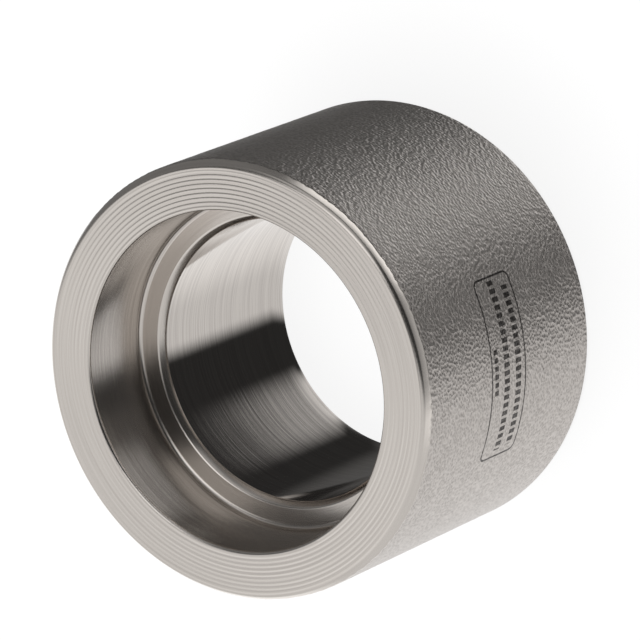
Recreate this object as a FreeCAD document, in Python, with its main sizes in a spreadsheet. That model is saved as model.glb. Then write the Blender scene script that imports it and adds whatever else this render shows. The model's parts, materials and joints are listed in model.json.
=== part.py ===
import FreeCAD, Part
import os

import Sketcher

# Socket weld half coupling, one piece turned from a round bar of 316L stainless steel.
# It stands on its plain end. The pipe socket opens upwards, and the flow bore runs through.
# Origin: centre of the plain end's face. +Z: along the bore, out of the socket's mouth.
# All sizes are in millimetres.

NODE = "coupling_body"

SIZES = {
    "overall_length": 44.5,
    "outside_diameter": 63.5,
    "socket_diameter": 49.1,
    "socket_depth": 12.7,
    "bore_diameter": 40.9,
    "rim_rounding": 1.0,
    "mouth_chamfer": 0.45,
    "root_fillet": 0.75,
    "shoulder_chamfer": 0.9,
    "bore_end_chamfer": 0.3,
    "plain_end_chamfer": 0.7,
}

# Two edges count as the same when their radius and height agree this closely.
MATCH = 1e-4

doc = FreeCAD.newDocument("socket_weld_half_coupling")


# Driving dimensions

sheet = doc.addObject("Spreadsheet::Sheet", "Sizes")
sheet.Label = "sizes"
for row, (alias, value) in enumerate(SIZES.items(), start=1):
    sheet.set(f"A{row}", alias)
    sheet.set(f"B{row}", str(value))
    sheet.setAlias(f"B{row}", alias)
doc.recompute()


def size(alias):
    """The number that the sheet holds under this alias."""
    return float(sheet.get(alias))


outer_radius = size("outside_diameter") / 2
socket_radius = size("socket_diameter") / 2
bore_radius = size("bore_diameter") / 2
mouth_height = size("overall_length")
shoulder_height = mouth_height - size("socket_depth")


# Body and its sketches

body = doc.addObject("PartDesign::Body", "CouplingBody")
body.Label = NODE


def origin_feature(role):
    """The body's own origin plane or axis that plays this role."""
    for feature in body.Origin.OriginFeatures:
        if feature.Role == role:
            return feature
    raise RuntimeError(f"the body's origin has no {role}")


def section_sketch(name):
    """An empty sketch on the plane through the axis: across is the radius, up is the height."""
    sketch = body.newObject("Sketcher::SketchObject", name)
    sketch.AttachmentSupport = [(origin_feature("XZ_Plane"), "")]
    sketch.MapMode = "FlatFace"
    return sketch


def closed_outline(sketch, corners):
    """Draw straight lines round the corners, joined end to end, and give their indices."""
    lines = []
    for start, end in zip(corners, corners[1:] + corners[:1]):
        line = Part.LineSegment(FreeCAD.Vector(*start, 0), FreeCAD.Vector(*end, 0))
        lines.append(sketch.addGeometry(line, False))
    for line, following in zip(lines, lines[1:] + lines[:1]):
        sketch.addConstraint(Sketcher.Constraint("Coincident", line, 2, following, 1))
    return lines


def place_corner(sketch, line, across, up, across_size=None, up_size=None):
    """Hold the line's first corner at its radius and height, tied to the sheet's sizes."""
    for kind, value, expression in (("DistanceX", across, across_size), ("DistanceY", up, up_size)):
        if expression is None:
            continue
        index = sketch.addConstraint(Sketcher.Constraint(kind, -1, 1, line, 1, value))
        sketch.setExpression(f"Constraints[{index}]", expression)


# Turned section
# The full section of the wall: plain end, outside, socket face, socket wall, shoulder and bore.

section = section_sketch("WallSection")
plain_end, outside, socket_face, socket_wall, shoulder, bore_wall = closed_outline(
    section,
    [
        (bore_radius, 0),
        (outer_radius, 0),
        (outer_radius, mouth_height),
        (socket_radius, mouth_height),
        (socket_radius, shoulder_height),
        (bore_radius, shoulder_height),
    ],
)
for flat in (plain_end, socket_face, shoulder):
    section.addConstraint(Sketcher.Constraint("Horizontal", flat))
for upright in (outside, socket_wall, bore_wall):
    section.addConstraint(Sketcher.Constraint("Vertical", upright))
section.addConstraint(Sketcher.Constraint("PointOnObject", plain_end, 1, -1))
place_corner(section, plain_end, bore_radius, 0, across_size="<<sizes>>.bore_diameter / 2")
place_corner(
    section, socket_face, outer_radius, mouth_height,
    across_size="<<sizes>>.outside_diameter / 2",
    up_size="<<sizes>>.overall_length",
)
place_corner(
    section, shoulder, socket_radius, shoulder_height,
    across_size="<<sizes>>.socket_diameter / 2",
    up_size="<<sizes>>.overall_length - <<sizes>>.socket_depth",
)

turning = body.newObject("PartDesign::Revolution", "TurnedWall")
turning.Profile = section
turning.ReferenceAxis = (section, ["V_Axis"])
turning.Angle = 360
doc.recompute()


# Edges
# The turning tool leaves a rounded outer rim round the socket face and its own nose radius in the
# socket's root. The other edges are broken by a 45 degree chamfer.

def ring_edge(feature, radius, height):
    """Name of the feature's round edge of this radius at this height."""
    for number, edge in enumerate(feature.Shape.Edges, start=1):
        if not isinstance(edge.Curve, Part.Circle):
            continue
        off_radius = abs(edge.Curve.Radius - radius)
        off_height = abs(edge.Curve.Center.z - height)
        if off_radius < MATCH and off_height < MATCH:
            return f"Edge{number}"
    raise RuntimeError(f"no round edge of radius {radius} at height {height}")


def dress_edge(kind, dimension, name, base, alias, radius, height):
    """Fillet or chamfer one round edge of the base by the size that the sheet gives."""
    dressing = body.newObject(f"PartDesign::{kind}", name)
    dressing.Base = (base, [ring_edge(base, radius, height)])
    dressing.setExpression(dimension, f"<<sizes>>.{alias}")
    doc.recompute()
    return dressing


def round_edge(name, base, alias, radius, height):
    return dress_edge("Fillet", "Radius", name, base, alias, radius, height)


def chamfer_edge(name, base, alias, radius, height):
    return dress_edge("Chamfer", "Size", name, base, alias, radius, height)


rim = round_edge("SocketRim", turning, "rim_rounding", outer_radius, mouth_height)
root = round_edge("SocketRoot", rim, "root_fillet", socket_radius, shoulder_height)
mouth = chamfer_edge("SocketMouth", root, "mouth_chamfer", socket_radius, mouth_height)
lip = chamfer_edge("ShoulderLip", mouth, "shoulder_chamfer", bore_radius, shoulder_height)
bore_end = chamfer_edge("BoreEnd", lip, "bore_end_chamfer", bore_radius, 0)
plain_rim = chamfer_edge("PlainEndRim", bore_end, "plain_end_chamfer", outer_radius, 0)
body.Tip = plain_rim
body.Placement = FreeCAD.Placement()
doc.recompute()


# Checks and export

for item in doc.Objects:
    faults = [state for state in item.State if state in ("Invalid", "Error")]
    if faults:
        raise RuntimeError(f"{item.Label} did not compute: {faults}")

solid = body.Shape
if solid.isNull() or not solid.isValid() or len(solid.Solids) != 1:
    raise RuntimeError(f"{NODE} is not one valid solid")
if plain_rim.Shape.Volume >= turning.Shape.Volume:
    raise RuntimeError("the edges took nothing off the turned wall")

os.makedirs("parts", exist_ok=True)
solid.exportStep(f"parts/{NODE}.step")

bounds = solid.optimalBoundingBox()
print(f"{NODE}: {bounds.XLength:.3f} x {bounds.YLength:.3f} x {bounds.ZLength:.3f} mm")
print(f"volume {solid.Volume:.1f} mm3 in {len(solid.Faces)} faces")
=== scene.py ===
# %% [markdown]
# # A socket weld half coupling, piece by piece
#
# The object is one thick ring of 316L stainless steel. A pipe slips into the socket at its open
# end and is welded there, and the flow bore carries on through the other end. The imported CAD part
# is loaded first, as the frame that every Blender piece is measured from.

# %% Load the frame
import json
import math

import bmesh
import bpy
from mathutils import Matrix, Vector, noise


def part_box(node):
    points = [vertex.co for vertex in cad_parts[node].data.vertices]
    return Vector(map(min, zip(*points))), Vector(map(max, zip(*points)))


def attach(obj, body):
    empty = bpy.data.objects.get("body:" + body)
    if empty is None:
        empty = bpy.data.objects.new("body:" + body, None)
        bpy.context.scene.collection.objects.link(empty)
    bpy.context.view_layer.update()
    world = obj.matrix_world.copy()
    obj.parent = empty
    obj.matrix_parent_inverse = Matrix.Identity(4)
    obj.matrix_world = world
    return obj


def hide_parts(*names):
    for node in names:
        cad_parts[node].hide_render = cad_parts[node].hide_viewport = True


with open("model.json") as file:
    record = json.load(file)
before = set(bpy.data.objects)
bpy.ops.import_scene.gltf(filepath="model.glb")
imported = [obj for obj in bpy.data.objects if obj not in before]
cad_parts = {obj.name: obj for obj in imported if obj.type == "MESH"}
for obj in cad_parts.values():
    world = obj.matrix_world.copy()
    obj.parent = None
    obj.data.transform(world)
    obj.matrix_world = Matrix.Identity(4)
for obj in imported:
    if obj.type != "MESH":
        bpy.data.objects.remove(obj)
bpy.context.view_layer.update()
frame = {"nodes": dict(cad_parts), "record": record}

# %% [markdown]
# ## Sizes
#
# The main sizes are read from the CAD part: its box gives the outside, and its named mounts give
# the socket, the bore and the stop that the pipe rests on. Only the small edges are named here,
# with the values that the turning tool leaves on the real part.

# %% Read the sizes
MM = 0.001

part_low, part_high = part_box("coupling_body")
mounts = {mount["name"]: mount for mount in frame["record"]["mounts"]}
outer_radius = part_high[0]
mouth_height = part_high[2]
socket_radius = mounts["socket"]["dims"]["r_mm"] * MM
bore_radius = mounts["flow_bore"]["dims"]["r_mm"] * MM
shoulder_height = mounts["socket_stop"]["pos_m"][2]

rim_inset = 0.73 * MM
rim_drop = 1.13 * MM
rim_softness = 0.47 * MM
rim_roll = 0.2 * MM
mouth_rounding = 0.45 * MM
root_fillet = 0.75 * MM
lip_chamfer = 0.9 * MM
bore_end_chamfer = 0.3 * MM
plain_end_chamfer = 0.7 * MM

for name, radius in (("outside", outer_radius), ("socket", socket_radius), ("bore", bore_radius)):
    print(name, "radius", round(radius / MM, 2), "mm")

# %% [markdown]
# ## The wall's section
#
# A turned part is the same section all the way round, so the section is drawn once as a wire and
# then spun. Each corner of the wire is broken by a bevel of the vertex, which is what the tool
# does to the real edge: more segments give a rounding, one segment gives a chamfer. The outer rim
# is a steep bevel that rolls over into the face above and into the skin below, so it has two
# corners in the wire, each with its own softness.

# %% Draw the section
SAME_POINT = 0.001 * MM


def wire_through(corners):
    """A closed wire in the XZ plane through corners given as (radius, height)."""
    bm = bmesh.new()
    points = [bm.verts.new((radius, 0, height)) for radius, height in corners]
    for start, end in zip(points, points[1:] + points[:1]):
        bm.edges.new((start, end))
    return bm


def break_corner(bm, radius, height, size, segments):
    """Bevel the one vertex at this radius and height."""
    place = Vector((radius, 0, height))
    corner = [vert for vert in bm.verts if (vert.co - place).length < SAME_POINT]
    bmesh.ops.bevel(
        bm, geom=corner, offset=size, offset_type="OFFSET",
        segments=segments, profile=0.5, affect="VERTICES", material=-1,
    )


rim_height = mouth_height - rim_drop

wall = wire_through(
    [
        (bore_radius, 0),
        (outer_radius, 0),
        (outer_radius, rim_height),
        (outer_radius - rim_inset, mouth_height),
        (socket_radius, mouth_height),
        (socket_radius, shoulder_height),
        (bore_radius, shoulder_height),
    ]
)
break_corner(wall, outer_radius, rim_height, rim_roll, 4)
break_corner(wall, outer_radius - rim_inset, mouth_height, rim_softness, 8)
break_corner(wall, socket_radius, mouth_height, mouth_rounding, 4)
break_corner(wall, socket_radius, shoulder_height, root_fillet, 5)
break_corner(wall, bore_radius, shoulder_height, lip_chamfer, 1)
break_corner(wall, bore_radius, 0, bore_end_chamfer, 1)
break_corner(wall, outer_radius, 0, plain_end_chamfer, 1)
print("section:", len(wall.verts), "points")

# %% [markdown]
# The chamfers' own corners are not knife edges either. A second, smaller bevel of each softens
# them, and that is what draws the thin bright and dark lines beside the chamfer in the photograph.

# %% Soften the chamfers
edge_softness = 0.2 * MM
soft_segments = 3

for radius, height in (
    (bore_radius + lip_chamfer, shoulder_height),
    (bore_radius, shoulder_height - lip_chamfer),
    (outer_radius - plain_end_chamfer, 0),
    (outer_radius, plain_end_chamfer),
):
    break_corner(wall, radius, height, edge_softness, soft_segments)
print("section with soft edges:", len(wall.verts), "points")

# %% [markdown]
# The outer skin needs rows of points for its blasted grain, so its long line is subdivided. So is
# the bore's line, because the bore opens a little towards the shoulder, as a boring bar springs
# away while it enters. The line across the socket face goes out: the facing tool's spiral takes
# its place later.

# %% Divide the long lines and open the face's line
grain_row = 0.41 * MM
bore_row = 3.2 * MM
bore_flare = 0.12 * MM
face_outer_radius = outer_radius - rim_inset - rim_softness
face_inner_radius = socket_radius + mouth_rounding


def edges_where(test):
    """The wall's edges whose two ends both pass the test."""
    return [edge for edge in wall.edges if all(test(vert.co) for vert in edge.verts)]


skin_line = edges_where(lambda co: abs(co.x - outer_radius) < SAME_POINT)
skin_length = skin_line[0].calc_length()
bmesh.ops.subdivide_edges(wall, edges=skin_line, cuts=round(skin_length / grain_row) - 1)

bore_line = edges_where(lambda co: abs(co.x - bore_radius) < SAME_POINT)
bore_length = bore_line[0].calc_length()
bmesh.ops.subdivide_edges(wall, edges=bore_line, cuts=round(bore_length / bore_row) - 1)
for vert in wall.verts:
    if vert.co.x < bore_radius + lip_chamfer / 2 and vert.co.z < shoulder_height - lip_chamfer / 2:
        vert.co.x += bore_flare * (vert.co.z / shoulder_height) ** 3

face_line = edges_where(lambda co: abs(co.z - mouth_height) < SAME_POINT)
bmesh.ops.delete(wall, geom=face_line, context="EDGES_FACES")
print("skin line", round(skin_length / MM, 2), "mm; section now", len(wall.verts), "points")

# %% [markdown]
# ## Spinning the wall
#
# A full spin with merging closes the ring on itself. The count of steps keeps each facet under
# half a millimetre, so that the rims stay round in a close view.

# %% Spin the section
STEPS = 480

bmesh.ops.spin(
    wall, geom=wall.verts[:] + wall.edges[:], cent=(0, 0, 0), axis=(0, 0, 1), dvec=(0, 0, 0),
    angle=math.tau, steps=STEPS, use_merge=True, use_duplicate=False,
)
print("wall:", len(wall.faces), "faces")

# %% [markdown]
# ## The facing tool's spiral
#
# The socket face was cut by a tool that moved outwards by 0.65 mm each turn. Its nose left each
# turn slightly dished, with a small step down to the next: one spiral, not rings. A spin that
# climbs like a screw gives a strip in which the height says how far the tool has gone, and that
# climb is then turned into radius. Points beyond the face's inner or outer circle are drawn back
# to it, and the steps fade to nothing as they reach both circles.

# %% Cut the spiral
tool_feed = 0.648 * MM
first_step = 25.757 * MM
step_width = 0.2 * MM
step_depth = 0.036 * MM
snap = 0.04 * MM
run_out = 0.3 * MM

inner_turns = math.ceil((first_step - face_inner_radius) / tool_feed) + 1
outer_turns = math.ceil((face_outer_radius - first_step) / tool_feed) + 1
across = [share * step_width for share in (-1, -0.5, 0, 0.5, 1)]


def dip_at(offset):
    """How far the face lies below its highest line, this far out from the middle of a step."""
    if abs(offset) < step_width / 2:
        return step_depth * (0.5 + offset / step_width)
    land = tool_feed - step_width
    climbed = (offset - step_width / 2) % tool_feed
    return step_depth * (1 - climbed / land)


spiral = bmesh.new()
track = [
    spiral.verts.new((first_step + turn * tool_feed + offset, 0, 0))
    for turn in range(-inner_turns, outer_turns)
    for offset in across
]
for start, end in zip(track, track[1:]):
    spiral.edges.new((start, end))
bmesh.ops.spin(
    spiral, geom=spiral.verts[:] + spiral.edges[:], cent=(0, 0, 0), axis=(0, 0, 1),
    dvec=(0, 0, tool_feed / STEPS), angle=math.tau, steps=STEPS,
    use_merge=False, use_duplicate=False,
)
for vert in spiral.verts:
    started = math.hypot(vert.co.x, vert.co.y)
    offset = (started - first_step + tool_feed / 2) % tool_feed - tool_feed / 2
    radius = started + vert.co.z
    if radius < face_inner_radius + snap:
        radius = face_inner_radius
    if radius > face_outer_radius - snap:
        radius = face_outer_radius
    to_edge = min(radius - face_inner_radius, face_outer_radius - radius)
    depth = dip_at(offset) * min(to_edge / run_out, 1)
    vert.co.x *= radius / started
    vert.co.y *= radius / started
    vert.co.z = mouth_height - depth
print("spiral strip:", len(spiral.faces), "faces")

# %% [markdown]
# The strip joins the wall. Merging doubles closes the strip on its own next turn and on the two
# circles, and the collapsed faces beyond the circles go with it.

# %% Join the face to the wall
strip = bpy.data.meshes.new("spiral_strip")
spiral.to_mesh(strip)
spiral.free()
wall.from_mesh(strip)
bpy.data.meshes.remove(strip)
bmesh.ops.dissolve_degenerate(wall, dist=SAME_POINT / 2, edges=wall.edges[:])
bmesh.ops.remove_doubles(wall, verts=wall.verts[:], dist=SAME_POINT * 2)
bmesh.ops.recalc_face_normals(wall, faces=wall.faces[:])
open_edges = [edge for edge in wall.edges if len(edge.link_faces) != 2]
print("wall with its face:", len(wall.faces), "faces,", len(open_edges), "open edges,",
      sum(len(face.verts) - 2 for face in wall.faces), "triangles,",
      round(wall.calc_volume() / MM ** 3), "mm3")

# %% [markdown]
# ## The blasted skin
#
# The outside was left as the bar was forged and then shot blasted, so it is covered in shallow
# dents just under a millimetre across, like leather. Dents this size show on the outline and catch
# the light, so they are real geometry: each skin point moves inwards by noise. Inwards only, so
# that the part's outside size holds. The dents fade out at the plain end. At the open end the rim
# was cut through them, so its lower edge wanders up and down the bevel and is ragged.

# %% Dent the skin
dent_depth = 0.03 * MM
dent_size = 0.95 * MM
fade_length = 0.8 * MM
raggedness = 0.18 * MM
ragged_size = 0.5 * MM
skin_top = rim_height - rim_roll
bevel_up = Vector((rim_inset, rim_drop)).normalized()


def dent_at(place):
    """A share from 0 to 1 that wanders over a distance of 1."""
    return min(max(0.5 + noise.noise(place), 0), 1)


for vert in wall.verts:
    place = vert.co.copy()
    radius = math.hypot(place.x, place.y)
    if radius < outer_radius - rim_roll or not plain_end_chamfer < place.z < rim_height + rim_roll:
        continue
    if place.z > skin_top - SAME_POINT:
        bite = raggedness * dent_at(Vector((place.x, place.y, rim_height)) / ragged_size)
        inwards = bite * bevel_up.x
        vert.co.z += bite * bevel_up.y
    else:
        fade = min((place.z - plain_end_chamfer) / fade_length, 1)
        inwards = dent_depth * fade * dent_at(place / dent_size)
    vert.co.x *= 1 - inwards / radius
    vert.co.y *= 1 - inwards / radius
print("skin dents: 0 to", dent_depth / MM, "mm")

# %% [markdown]
# ## One piece, three finishes
#
# The mesh becomes one object, with its place in its vertices. A UV map gives each point its turn
# round the ring and its place round the section, because brushed reflections need to know which
# way the tool went. The place round the section is an angle about a point inside the wall. The
# faces are then told apart by where they lie: blasted skin, the bore's wall, the socket's wall,
# and all the turned faces and edges between them.

# %% Make the piece
section_middle = (28 * MM, 30 * MM)

turning = wall.loops.layers.uv.new("turning")
for face in wall.faces:
    face.smooth = True
    middle = face.calc_center_median()
    face_turn = math.atan2(middle.y, middle.x)
    for loop in face.loops:
        place = loop.vert.co
        turn = math.atan2(place.y, place.x)
        turn += math.tau * round((face_turn - turn) / math.tau)
        radius = math.hypot(place.x, place.y)
        round_section = math.atan2(place.z - section_middle[1], radius - section_middle[0])
        loop[turning].uv = (turn, round_section)

SKIN, TURNED, BORED, COUNTERBORED = range(4)
for face in wall.faces:
    middle = face.calc_center_median()
    radius = math.hypot(middle.x, middle.y)
    height = middle.z
    if radius > outer_radius - 3 * dent_depth and plain_end_chamfer < height < skin_top:
        face.material_index = SKIN
    elif radius < bore_radius + bore_flare and height < shoulder_height - lip_chamfer:
        face.material_index = BORED
    elif radius < socket_radius + SAME_POINT and height > shoulder_height + SAME_POINT:
        face.material_index = COUNTERBORED
    else:
        face.material_index = TURNED

mesh = bpy.data.meshes.new("coupling")
wall.to_mesh(mesh)
wall.free()
coupling = bpy.data.objects.new("coupling", mesh)
bpy.context.scene.collection.objects.link(coupling)
even_shading = coupling.modifiers.new("even_shading", "WEIGHTED_NORMAL")
even_shading.weight = 50
even_shading.keep_sharp = True
print("coupling:", len(mesh.polygons), "faces")

# %% [markdown]
# ## Helpers for the materials
#
# Colours are written as sRGB hex values, as a colour picker shows them, and one function turns
# them to the linear values that the shader wants. One small function adds a node with its settings
# and its links, so that every material below reads as a list of nodes.

# %% Define the helpers


def linear(hex_colour):
    """An sRGB hex colour as linear RGBA."""
    channels = [int(hex_colour[start:start + 2], 16) / 255 for start in (1, 3, 5)]
    curve = [c / 12.92 if c <= 0.04045 else ((c + 0.055) / 1.055) ** 2.4 for c in channels]
    return (*curve, 1)


def add_node(tree, kind, inputs=None, **settings):
    """A node with its settings. An input is a number, a colour or another node's output."""
    node = tree.nodes.new(kind)
    for name, value in settings.items():
        setattr(node, name, value)
    for name, value in (inputs or {}).items():
        if isinstance(value, bpy.types.NodeSocket):
            tree.links.new(value, node.inputs[name])
        else:
            node.inputs[name].default_value = value
    return node


def new_material(name):
    """A material with an empty node tree and its output."""
    material = bpy.data.materials.new(name)
    material.use_nodes = True
    material.node_tree.nodes.clear()
    output = material.node_tree.nodes.new("ShaderNodeOutputMaterial")
    return material, material.node_tree, output


PER_MM = 1 / MM

# %% [markdown]
# ## Shot-blasted 316L stainless steel
#
# Stainless steel reflects a little over half of the light, a shade warmer than neutral. Blasting
# breaks the mirror into tiny facets that point every way, so the skin looks grey and silky. The
# dents are in the mesh already. Between them lie the shot's own craters, half a millimetre across,
# with ridges that glint: a bump of the distance to the nearest crater's middle. The craters are a
# little longer round the ring than along it. Their middles are painted darker than their ridges,
# as painted shade in the hollows.

# %% Make the blasted finish
STEEL = "#D0CAC4"
# The darker colour is painted shade for the crater middles, the other is the steel on the ridges.
PAINTED_CRATER_SHADE = "#A6A09B"
RIDGE_STEEL = "#CEC8C3"
craters_per_mm = (1.9, 1.9, 2.4)
crater_softness = 0.5
crater_middle = 0.0
crater_ridge = 0.65
crater_depth = 0.11 * MM
blast_roughness = 0.38

blasted, tree, output = new_material("shot_blasted_316l_stainless")
place = add_node(tree, "ShaderNodeTexCoord").outputs["Object"]
parts = add_node(tree, "ShaderNodeSeparateXYZ", {"Vector": place})
drawn_out = add_node(
    tree, "ShaderNodeMapping",
    {"Vector": place, "Scale": [count * PER_MM for count in craters_per_mm]},
)
craters = add_node(
    tree, "ShaderNodeTexVoronoi",
    {"Vector": drawn_out.outputs["Vector"], "Scale": 1.0, "Smoothness": crater_softness},
    feature="SMOOTH_F1",
)
grain = add_node(
    tree, "ShaderNodeBump",
    {"Height": craters.outputs["Distance"], "Strength": 1.0, "Distance": crater_depth},
)
# Painted shade: the colour goes from the darker crater colour in the middles to the steel on the
# ridges.
inside_to_ridge = {
    "Value": craters.outputs["Distance"], "From Min": crater_middle, "From Max": crater_ridge,
}
ridge = add_node(tree, "ShaderNodeMapRange", inside_to_ridge)
skin_steel_and_crater_shade = add_node(
    tree, "ShaderNodeMix",
    {"Factor": ridge.outputs["Result"], "A": linear(PAINTED_CRATER_SHADE), "B": linear(RIDGE_STEEL)},
    data_type="RGBA",
)

# %% [markdown]
# ## The etched field
#
# A laser has darkened a thin frame on the side, with three rows of plain dashes. The field is drawn
# in millimetres: across is the way round the ring from the field's middle, and up is the height
# above it. A soft-edged band of a value is 1 within so far of its middle. Dashes are bands of a
# value that starts again every period.

# %% Lay out the field
ETCHED_STEEL = "#2A2624"
etch_below_mouth = 22.0
etch_half_width = 13.3
etch_half_height = 4.5
etch_corner = 1.1
etch_line = 0.15
etch_blur = 0.04

towards = add_node(tree, "ShaderNodeMath", {0: parts.outputs["Y"], 1: -1.0}, operation="MULTIPLY")
turn = add_node(
    tree, "ShaderNodeMath", {0: parts.outputs["X"], 1: towards.outputs["Value"]},
    operation="ARCTAN2",
)
across_field = add_node(
    tree, "ShaderNodeMath", {0: turn.outputs["Value"], 1: outer_radius / MM},
    operation="MULTIPLY",
).outputs["Value"]
up_field = add_node(
    tree, "ShaderNodeMath",
    {0: parts.outputs["Z"], 1: PER_MM, 2: etch_below_mouth - mouth_height / MM},
    operation="MULTIPLY_ADD",
).outputs["Value"]
print("field:", 2 * etch_half_width, "x", 2 * etch_half_height, "mm")

# %% [markdown]
# The frame is a thin line at one distance from a rectangle's rounded corners. Past the start of a
# corner, that distance is the length of a vector; along a side, one part of the vector is zero.

# %% Draw the frame


def band(value, middle, half_width):
    """1 where the value is within half_width of the middle, with a soft edge."""
    away = add_node(tree, "ShaderNodeMath", {0: value, 1: middle}, operation="SUBTRACT")
    size = add_node(tree, "ShaderNodeMath", {0: away.outputs["Value"]}, operation="ABSOLUTE")
    soft = add_node(
        tree, "ShaderNodeMapRange",
        {
            "Value": size.outputs["Value"],
            "From Min": half_width + etch_blur, "From Max": half_width - etch_blur,
        },
        interpolation_type="SMOOTHSTEP",
    )
    return soft.outputs["Result"]


def joined(operation, first, *rest):
    """Several values joined by one operation."""
    for value in rest:
        both = add_node(tree, "ShaderNodeMath", {0: first, 1: value}, operation=operation)
        first = both.outputs["Value"]
    return first


def past_corner(value, half_size):
    """How far the value goes past where the frame's rounded corner starts."""
    size = add_node(tree, "ShaderNodeMath", {0: value}, operation="ABSOLUTE").outputs["Value"]
    past = add_node(
        tree, "ShaderNodeMath", {0: size, 1: half_size - etch_corner}, operation="SUBTRACT"
    )
    return past.outputs["Value"]


beyond = add_node(
    tree, "ShaderNodeCombineXYZ",
    {"X": past_corner(across_field, etch_half_width), "Y": past_corner(up_field, etch_half_height)},
)
outside_corner = add_node(
    tree, "ShaderNodeVectorMath", {0: beyond.outputs["Vector"], 1: (0, 0, 0)}, operation="MAXIMUM"
)
from_corner = add_node(
    tree, "ShaderNodeVectorMath", {0: outside_corner.outputs["Vector"]}, operation="LENGTH"
)
frame_line = band(from_corner.outputs["Value"], etch_corner, etch_line)

# %% [markdown]
# Every row uses the same dashes, cut to its own length and height. The frame and the rows are then
# one mask.

# %% Draw the rows of dashes
dash_period = 1.18
dash_half_width = 0.36

dashing = add_node(
    tree, "ShaderNodeMath", {0: across_field, 1: dash_period}, operation="FLOORED_MODULO"
)
dashes = band(dashing.outputs["Value"], dash_period / 2, dash_half_width)


def dash_row(up, across, half_length, half_height):
    """One row of dashes, with its middle this far up and across, as a mask."""
    return joined(
        "MULTIPLY",
        band(up_field, up, half_height), band(across_field, across, half_length), dashes,
    )


marks = joined(
    "MAXIMUM",
    frame_line,
    dash_row(up=3.25, across=0.0, half_length=3.5, half_height=0.5),
    dash_row(up=0.5, across=0.3, half_length=12.6, half_height=0.72),
    dash_row(up=-2.6, across=-0.3, half_length=11.8, half_height=0.72),
)

# %% [markdown]
# The laser's mark is a little fainter on the ridges than inside the craters, so it looks sunk into
# the skin. The finished colour, the roughness and the craters' bump make the blasted steel.

# %% Finish the blasted steel
etch_on_ridge = 0.86

worn = add_node(
    tree, "ShaderNodeMapRange", {**inside_to_ridge, "To Min": 1.0, "To Max": etch_on_ridge}
)
etched = joined("MULTIPLY", marks, worn.outputs["Result"])
skin_colour = add_node(
    tree, "ShaderNodeMix",
    {"Factor": etched, "A": skin_steel_and_crater_shade.outputs["Result"], "B": linear(ETCHED_STEEL)},
    data_type="RGBA",
)
steel = add_node(
    tree, "ShaderNodeBsdfPrincipled",
    {
        "Base Color": skin_colour.outputs["Result"], "Metallic": 1.0,
        "Roughness": blast_roughness, "Normal": grain.outputs["Normal"],
    },
)
tree.links.new(steel.outputs["BSDF"], output.inputs["Surface"])
print("blasted steel:", len(tree.nodes), "nodes")

# %% [markdown]
# ## Turned and bored 316L stainless steel
#
# A cutting tool leaves fine lines that run round the part. Their noise is stretched along the
# turn: it changes slowly with x and y and quickly with radius and height. The lines are a little
# darker than the steel between them. The faces and edges look satin. The bore's wall is close to a
# mirror along the lines and blurred across them, and the socket's wall is blurred more.

# %% Describe a turned finish
changes_per_metre = 40
darkest_line = 0.35
clear_steel = 0.6


def turned_finish(name, shade, roughness, line_spacing, line_depth, anisotropy):
    """Bright steel with lines of this shade round the axis, spaced and as deep as given."""
    material, tree, output = new_material(name)
    place = add_node(tree, "ShaderNodeTexCoord").outputs["Object"]
    flat = add_node(tree, "ShaderNodeVectorMath", {0: place, 1: (1, 1, 0)}, operation="MULTIPLY")
    radius = add_node(tree, "ShaderNodeVectorMath", {0: flat.outputs["Vector"]}, operation="LENGTH")
    parts = add_node(tree, "ShaderNodeSeparateXYZ", {"Vector": place})
    along = add_node(
        tree, "ShaderNodeMath", {0: radius.outputs["Value"], 1: parts.outputs["Z"]}, operation="ADD"
    )
    stretched = add_node(
        tree, "ShaderNodeCombineXYZ",
        {"X": parts.outputs["X"], "Y": parts.outputs["Y"], "Z": along.outputs["Value"]},
    )
    scaled = add_node(
        tree, "ShaderNodeMapping",
        {
            "Vector": stretched.outputs["Vector"],
            "Scale": (changes_per_metre, changes_per_metre, 1 / line_spacing),
        },
    )
    lines = add_node(
        tree, "ShaderNodeTexNoise",
        {"Vector": scaled.outputs["Vector"], "Scale": 1.0, "Detail": 2.0, "Roughness": 0.6},
    )
    streaks = add_node(
        tree, "ShaderNodeMapRange",
        {"Value": lines.outputs["Fac"], "From Min": darkest_line, "From Max": clear_steel},
    )
    streaked = add_node(
        tree, "ShaderNodeMix",
        {"Factor": streaks.outputs["Result"], "A": linear(shade), "B": linear(STEEL)},
        data_type="RGBA",
    )
    bump = add_node(
        tree, "ShaderNodeBump",
        {"Height": lines.outputs["Fac"], "Strength": 1.0, "Distance": line_depth},
    )
    tangent = add_node(tree, "ShaderNodeTangent", direction_type="UV_MAP", uv_map="turning")
    steel = add_node(
        tree, "ShaderNodeBsdfPrincipled",
        {
            "Base Color": streaked.outputs["Result"], "Metallic": 1.0, "Roughness": roughness,
            "Anisotropic": anisotropy, "Anisotropic Rotation": 0.25,
            "Normal": bump.outputs["Normal"], "Tangent": tangent.outputs["Tangent"],
        },
    )
    tree.links.new(steel.outputs["BSDF"], output.inputs["Surface"])
    return material


# %% [markdown]
# The bore is the smoothest of the three, and the counterbore has the deepest lines.

# %% Make the turned, bored and counterbored finishes
turned = turned_finish(
    "turned_316l_stainless", "#C8C2BC",
    roughness=0.22, line_spacing=0.25 * MM, line_depth=0.002 * MM, anisotropy=0.3,
)
bored = turned_finish(
    "bored_316l_stainless", "#BFB9B4",
    roughness=0.07, line_spacing=0.3 * MM, line_depth=0.0035 * MM, anisotropy=0.5,
)
counterbored = turned_finish(
    "counterbored_316l_stainless", "#BDB6B0",
    roughness=0.23, line_spacing=0.3 * MM, line_depth=0.010 * MM, anisotropy=0.5,
)

for material in (blasted, turned, bored, counterbored):
    mesh.materials.append(material)
for node in frame["nodes"].values():
    node.data.materials.clear()
    node.data.materials.append(turned)
print("materials:", [material.name for material in mesh.materials])

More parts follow.
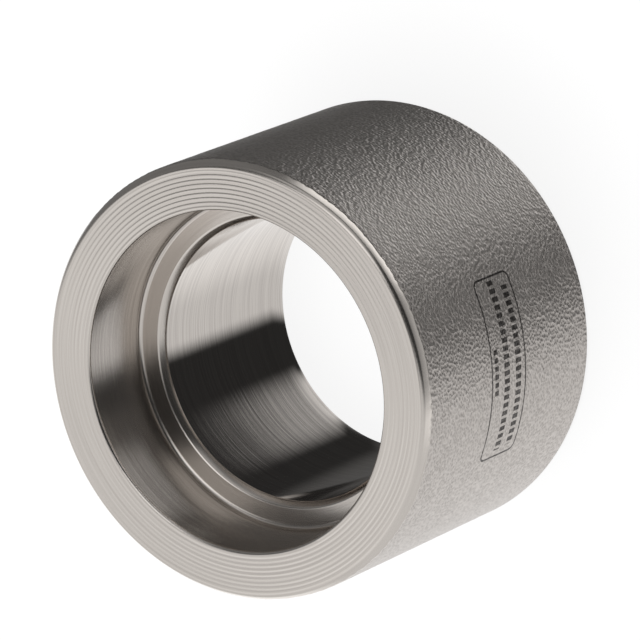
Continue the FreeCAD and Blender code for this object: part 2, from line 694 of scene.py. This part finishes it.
# %% [markdown]
# ## The studio
#
# Bare metal shows its surroundings, so the light is a studio of plain white and grey cards round
# the part, drawn in the world, with dark between them. A card is placed by its compass heading and
# its height, both in degrees, as seen from the part. Camera rays see plain white instead, as the
# photograph's background does.

# %% Build the room
world = bpy.data.worlds.new("studio")
bpy.context.scene.world = world
world.use_nodes = True
tree = world.node_tree
tree.nodes.clear()
output = tree.nodes.new("ShaderNodeOutputWorld")
direction = add_node(tree, "ShaderNodeTexCoord").outputs["Generated"]
parts = add_node(tree, "ShaderNodeSeparateXYZ", {"Vector": direction})
level = add_node(tree, "ShaderNodeVectorMath", {0: direction, 1: (1, 1, 0)}, operation="MULTIPLY")
compass = add_node(
    tree, "ShaderNodeVectorMath", {0: level.outputs["Vector"]}, operation="NORMALIZE"
)


def card(azimuth, half_width, bottom, top, brightness, softness=8, fade=6):
    """A card with soft sides, and a fade at its bottom and top, as a brightness output."""
    heading = math.radians(azimuth)
    facing = add_node(
        tree, "ShaderNodeVectorMath",
        {0: compass.outputs["Vector"], 1: (math.cos(heading), math.sin(heading), 0)},
        operation="DOT_PRODUCT",
    )
    sideways = add_node(
        tree, "ShaderNodeMapRange",
        {
            "Value": facing.outputs["Value"],
            "From Min": math.cos(math.radians(half_width + softness)),
            "From Max": math.cos(math.radians(max(half_width - softness, 0))),
            "To Min": 0.0, "To Max": brightness,
        },
        interpolation_type="SMOOTHSTEP",
    )
    above = add_node(
        tree, "ShaderNodeMapRange",
        {
            "Value": parts.outputs["Z"],
            "From Min": math.sin(math.radians(max(bottom - fade, -90))),
            "From Max": math.sin(math.radians(bottom + fade)),
        },
        interpolation_type="SMOOTHSTEP",
    )
    below = add_node(
        tree, "ShaderNodeMapRange",
        {
            "Value": parts.outputs["Z"],
            "From Min": math.sin(math.radians(min(top + fade, 90))),
            "From Max": math.sin(math.radians(top - fade)),
        },
        interpolation_type="SMOOTHSTEP",
    )
    upright = add_node(
        tree, "ShaderNodeMath", {0: above.outputs["Result"], 1: below.outputs["Result"]},
        operation="MULTIPLY",
    )
    lit = add_node(
        tree, "ShaderNodeMath", {0: upright.outputs["Value"], 1: sideways.outputs["Result"]},
        operation="MULTIPLY",
    )
    return lit.outputs["Value"]


# %% [markdown]
# The wide white wall is what the socket face and the bright side of the bore look at. One brighter
# place high on it draws the spiral's ripples on the far side of the face, and two lie low on it.

# %% Set the white wall
white_wall = card(azimuth=174, half_width=80.5, bottom=-84, top=81, brightness=0.79)
wall_high = card(
    azimuth=145, half_width=22, bottom=35, top=72, brightness=0.24, softness=16, fade=10
)
wall_low = card(
    azimuth=130, half_width=32, bottom=-46, top=-12, brightness=0.50, softness=15, fade=8
)
wall_lowest = card(
    azimuth=162, half_width=36, bottom=-64, top=-44, brightness=0.26, softness=25, fade=6
)

# %% [markdown]
# Across from the wall stands the brightest card, a window that the rim shows as its thin white
# line. A grey card on each side of it fills the skin.

# %% Set the window
window = card(azimuth=-26, half_width=27, bottom=-22, top=10, brightness=1.45)
left_fill = card(
    azimuth=-83, half_width=30, bottom=-38, top=14, brightness=0.55, softness=14, fade=10
)
right_fill = card(
    azimuth=52, half_width=45, bottom=-40, top=50, brightness=0.17, softness=20, fade=10
)

# %% [markdown]
# The skin looks down on the table top under the part, which is white in the middle and fades to
# one side. A narrow strip at its edge lights the soft patch low in the bore.

# %% Set the table top
table_left = card(
    azimuth=-20, half_width=26, bottom=-86, top=-61, brightness=0.85, softness=10, fade=3
)
table_right = card(
    azimuth=37, half_width=40, bottom=-84, top=-64, brightness=1.05, softness=14, fade=4
)
table_end = card(
    azimuth=75, half_width=20, bottom=-72, top=-46, brightness=0.07, softness=16, fade=6
)
table_edge = card(
    azimuth=-22, half_width=20, bottom=-61, top=-53.6, brightness=0.62, softness=20, fade=0.7
)

# %% [markdown]
# Two cards hang high over the window. The near side of the face draws its tool lines with the
# higher one. All the cards add up, over a room that is nearly dark.

# %% Set the high cards and add them up
high_card = card(azimuth=24, half_width=54, bottom=63, top=85, brightness=1.35, softness=12)
over_window = card(
    azimuth=-6, half_width=26, bottom=28, top=68, brightness=0.5, softness=10, fade=8
)
room = 0.03
total = joined(
    "ADD", room, white_wall, wall_high, wall_low, wall_lowest, window, left_fill, right_fill,
    table_left, table_right, table_end, table_edge, high_card, over_window,
)
print("world:", len(tree.nodes), "nodes")

# %% [markdown]
# The part shows the cards, and the camera sees plain white behind it.

# %% Light the world
studio = add_node(tree, "ShaderNodeBackground", {"Color": total, "Strength": 1.0})
white = add_node(tree, "ShaderNodeBackground", {"Color": (1, 1, 1, 1), "Strength": 1.0})
seen = add_node(tree, "ShaderNodeLightPath")
shown = add_node(
    tree, "ShaderNodeMixShader",
    {
        0: seen.outputs["Is Camera Ray"],
        1: studio.outputs["Background"], 2: white.outputs["Background"],
    },
)
tree.links.new(shown.outputs["Shader"], output.inputs["Surface"])

# %% [markdown]
# ## The floor
#
# The part stands on a plain pale floor. Most of what the camera sees of it is plain white, and a
# small share is lit, which keeps the part's soft shadow. The metal looks past it to the cards.

# %% Lay the floor
floor_half = 1.5
floor_drop = 0.02 * MM
lit_share = 0.12

bm = bmesh.new()
bmesh.ops.create_grid(bm, x_segments=1, y_segments=1, size=floor_half)
bmesh.ops.translate(bm, verts=bm.verts[:], vec=(0, 0, -floor_drop))
floor_mesh = bpy.data.meshes.new("floor")
bm.to_mesh(floor_mesh)
bm.free()
floor = bpy.data.objects.new("floor", floor_mesh)
bpy.context.scene.collection.objects.link(floor)
floor.visible_glossy = False

paper, tree, output = new_material("pale_paper")
glow = add_node(tree, "ShaderNodeEmission", {"Color": (1, 1, 1, 1), "Strength": 1.0})
matt = add_node(tree, "ShaderNodeBsdfDiffuse", {"Color": linear("#F4F4F4")})
seen = add_node(tree, "ShaderNodeLightPath")
share = add_node(
    tree, "ShaderNodeMath", {0: seen.outputs["Is Camera Ray"], 1: 1 - lit_share},
    operation="MULTIPLY",
)
mixed = add_node(
    tree, "ShaderNodeMixShader",
    {0: share.outputs["Value"], 1: matt.outputs["BSDF"], 2: glow.outputs["Emission"]},
)
tree.links.new(mixed.outputs["Shader"], output.inputs["Surface"])
floor_mesh.materials.append(paper)

# %% [markdown]
# ## The lamp
#
# One wide, soft lamp overhead gives the shadow on the floor.

# %% Hang the lamp
lamp_data = bpy.data.lights.new("soft_lamp", "AREA")
lamp_data.shape = "DISK"
lamp_data.size = 0.5
lamp_data.energy = 6.0
lamp = bpy.data.objects.new("soft_lamp", lamp_data)
lamp.location = (-0.15, 0.1, 0.7)
lamp.rotation_euler = (-lamp.location).to_track_quat("-Z", "Y").to_euler()
lamp.visible_glossy = False
bpy.context.scene.collection.objects.link(lamp)

# %% [markdown]
# ## The camera
#
# The camera stands far off with a long lens, above the open socket, and is rolled over: the
# photograph has the part lying on its side with the socket towards the viewer.

# %% Place the camera
IMAGE_PIXELS = 640
SENSOR_WIDTH = 36.0
focal_pixels = 6021.6
azimuth = math.radians(23.61)
elevation = math.radians(54.50)
roll = math.radians(-112.19)
stand_off = 842.5 * MM
aim_right = 12.07 * MM
aim_up = 8.72 * MM

back = Vector((
    math.sin(azimuth) * math.cos(elevation),
    -math.cos(azimuth) * math.cos(elevation),
    math.sin(elevation),
))
level_right = Vector((math.cos(azimuth), math.sin(azimuth), 0))
level_up = back.cross(level_right)
right = math.cos(roll) * level_right + math.sin(roll) * level_up
up = back.cross(right)

camera_data = bpy.data.cameras.new("camera")
camera_data.sensor_width = SENSOR_WIDTH
camera_data.lens = focal_pixels / IMAGE_PIXELS * SENSOR_WIDTH
camera = bpy.data.objects.new("camera", camera_data)
place = Vector((0, 0, mouth_height)) + aim_right * right + aim_up * up + stand_off * back
turn = Matrix((right, up, back)).transposed().to_4x4()
camera.matrix_world = Matrix.Translation(place) @ turn
bpy.context.scene.collection.objects.link(camera)
bpy.context.scene.camera = camera
bpy.context.scene.view_settings.view_transform = "Standard"
print("camera at", tuple(round(value, 4) for value in place))

# %% [markdown]
# ## Tie the piece to the frame
#
# The fine mesh stands for the CAD solid and moves with the same body.

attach(coupling, "root")
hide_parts("coupling_body")
